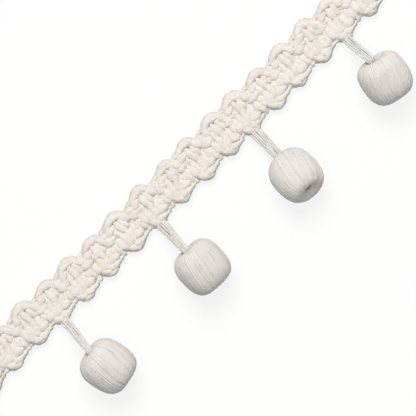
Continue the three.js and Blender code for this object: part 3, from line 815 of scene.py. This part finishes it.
# %% Threads of the stems
# number: x and width where it leaves the heading, then x and width at the bead, in mm
STEMS = {1: (-58.3, 2.9, -59.0, 2.2), 2: (-19.2, 3.6, -19.5, 2.5), 3: (18.4, 3.5, 18.3, 2.9),
         4: (55.7, 2.9, 55.9, 2.8)}
STEM_THREADS = [(-0.5, 0.25), (-0.3, 0.5), (-0.1, 0.35), (0.12, 0.5), (0.32, 0.3), (0.5, 0.1),
                (-0.2, -0.3), (0.2, -0.35)]  # place across the width and over the middle, as shares
STEM_POINTS = 9
stems = {}
for number, (x, top, end_x, end) in STEMS.items():
    dice = random.Random(40 + number)
    place = placed_on_axis(number)
    centre, axis = place.translation / MM, place.to_3x3().col[2].normalized()
    side = axis.cross(Vector((0, 0, 1))).normalized()
    over = side.cross(axis)
    start = Vector((x, -5.0, 1.55))
    finish_at = centre + axis * (BEADS[number][1][1] / 2 - 0.7)  # 0.7 mm inside the bead's end
    finish_at.x = end_x
    deep = finish_at - axis * 1.6  # the threads end here, out of sight in the hole
    arrive = (Vector((0, axis.y, axis.z)) + (start - finish_at).normalized()).normalized()
    reach = (finish_at - start).length / 3
    leave = start + Vector((0, -reach, 0.35 * reach))  # it rises as it leaves
    threads = []
    for across, rise in STEM_THREADS:
        across += dice.uniform(-0.05, 0.05)
        path = []
        for k in range(STEM_POINTS):
            t = k / (STEM_POINTS - 1)
            width = top + (end - top) * t
            spot = ((1 - t) ** 3 * start + 3 * (1 - t) ** 2 * t * leave
                    + 3 * (1 - t) * t * t * (finish_at + arrive * reach) + t ** 3 * finish_at)
            turned = Vector((1, 0, 0)).lerp(-side if side.x < 0 else side, t)
            up = Vector((0, 0, 1)).lerp(over if over.z > 0 else -over, t)
            thick = max(0.28, width * 0.095)  # a thread's radius
            wave = 0.06 * math.sin(math.pi * t) * dice.uniform(-1, 1)
            spot = (spot + turned * (across + wave) * (width - 2 * thick)
                    + up * rise * 0.62 * (width - 2 * thick))
            path.append((*spot, thick))
        inside = deep + side * across * 0.6 + over * rise * 0.4
        path.append((*inside, 0.26))
        threads.append(path)
    maker = paths_object(f"stem_{number}_maker", threads)
    stems[number] = make_cord(maker, f"thread_stem_{number}", chain_section, 0.2, 1 / (2.4 * MM),
                              60 + number, thread_cotton)

# %% [markdown]
# ## The room
# A pale floor takes the object's soft shadow. It lies a hair below the table plane. One large soft
# lamp stands high over the side away from the beads, and a pale sky, brightest overhead, fills the
# shadows. Both are kept low, so that a colour shows about as it was written.

# %% Floor
def floor_material():
    """White card: pale and matt, and seen by the camera as near white with the shadow kept."""
    material, tree, surface = finish_start("matt white card", roughness=0.9, specular=0.1)
    space = add(tree, "ShaderNodeTexCoord").outputs["Object"]
    grain = add(tree, "ShaderNodeTexNoise", {"Vector": space, "Scale": 900.0})
    tint = add(tree, "ShaderNodeMix",
               {"Factor": grain, 6: linear("#f4f3f1"), 7: linear("#fbfaf9")}, data_type="RGBA")
    # The object gets back about half of the light. The eye sees the card's own tint.
    eye = add(tree, "ShaderNodeLightPath").outputs["Is Camera Ray"]
    shade = add(tree, "ShaderNodeMix", {"Factor": eye, 6: linear("#c4c1bd"), 7: tint.outputs[2]},
                data_type="RGBA")
    tree.links.new(shade.outputs[2], surface.inputs["Base Color"])
    # The eye sees most of the white and part of the shadow.
    white = add(tree, "ShaderNodeEmission", {"Strength": 1.0})
    seen = add(tree, MATH, {0: eye, 1: 0.8}, operation="MULTIPLY")
    card = add(tree, "ShaderNodeMixShader", {0: seen, 1: surface, 2: white})
    # The side seen from below lets the light and the eye through.
    clear = add(tree, "ShaderNodeBsdfTransparent")
    behind = add(tree, "ShaderNodeNewGeometry").outputs["Backfacing"]
    both = add(tree, "ShaderNodeMixShader", {0: behind, 1: card, 2: clear})
    tree.links.new(both.outputs[0], tree.nodes["Material Output"].inputs["Surface"])
    return material


FLOOR_REACH, FLOOR_LEVEL = 1.5, -5e-5
floor_mesh = bpy.data.meshes.new("floor")
floor_mesh.from_pydata([(x * FLOOR_REACH, y * FLOOR_REACH, FLOOR_LEVEL)
                        for x, y in ((-1, -1), (1, -1), (1, 1), (-1, 1))], [], [(0, 1, 2, 3)])
floor_mesh.materials.append(floor_material())
floor = placed("floor", floor_mesh)
print("floor:", 2 * FLOOR_REACH, "m wide")

# %% [markdown]
# ## Lamp and sky
# A ready-made surround could light the trim too, but one lamp and a plain sky are easy to set.

# %% Lamp and sky
key = placed("key", bpy.data.lights.new("key", "AREA"))
key.data.shape, key.data.size = "DISK", 1.0
key.data.energy = 18.0
key_from = Vector((0.29, 0.50, 0.82)).normalized()
key.location = key_from * 1.6
key.rotation_euler = key_from.to_track_quat("Z", "Y").to_euler()

world = bpy.data.worlds.new("room")
bpy.context.scene.world = world
world.use_nodes = True
tree = world.node_tree
sky = tree.nodes["Background"]
sky.inputs["Color"].default_value = linear("#ffffff")
# The sky is brightest overhead and fades to nothing at the horizon; the eye sees it plain white.
ZENITH = 1.05
direction = add(tree, "ShaderNodeTexCoord").outputs["Generated"]
upward = add(tree, "ShaderNodeSeparateXYZ", {0: direction}).outputs[2]
above = add(tree, MATH, {0: upward, 1: 0.0}, operation="MAXIMUM")
squared = add(tree, MATH, {0: above, 1: above}, operation="MULTIPLY")
lit = add(tree, MATH, {0: squared, 1: ZENITH}, operation="MULTIPLY")
eye = add(tree, "ShaderNodeLightPath").outputs["Is Camera Ray"]
level = add(tree, MATH, {0: lit, 1: eye}, operation="MAXIMUM")
tree.links.new(level.outputs[0], sky.inputs["Strength"])
bpy.context.scene.view_settings.view_transform = "Standard"
print("lamp:", key.data.energy, "W, sky overhead:", ZENITH)

# %% [markdown]
# ## The camera
# The trim lies across the view from corner to corner, and a long lens looks straight down on it. A
# short lens would make the beads lean outwards.

# %% The camera
VIEW_ACROSS = 118.7 * MM  # what the frame spans at the height of the heading's face
aim = Vector((-6.56, -12.13, 4.5)) * MM
camera = placed("camera", bpy.data.cameras.new("camera"))
camera.data.lens = 300.0
camera.data.sensor_width = 36.0
distance = VIEW_ACROSS * camera.data.lens / camera.data.sensor_width
camera.location = aim + Vector((0, 0, distance))
camera.rotation_euler = (0, 0, math.radians(-45))
camera.data.clip_start, camera.data.clip_end = 0.01, 10
bpy.context.scene.camera = camera
print("camera height: %.3f m" % camera.location.z)

# %% [markdown]
# ## Pieces in place
# Every piece rides on the one body, and the solid that it stands for is hidden.

# %% Riding and replacing
for section in (cord_section, chain_section, thread_section):
    bpy.data.objects.remove(section)
for piece in [*heading_pieces, heading_ground, *beads.values(), *stems.values()]:
    lay_down(piece.data)
for piece in heading_pieces + [heading_ground]:
    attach(piece, "root")
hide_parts("heading")
for number, bead in beads.items():
    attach(bead, "root")
    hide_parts(f"bead_{number}")
for number, stem in stems.items():
    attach(stem, "root")
    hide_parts(f"stem_{number}")
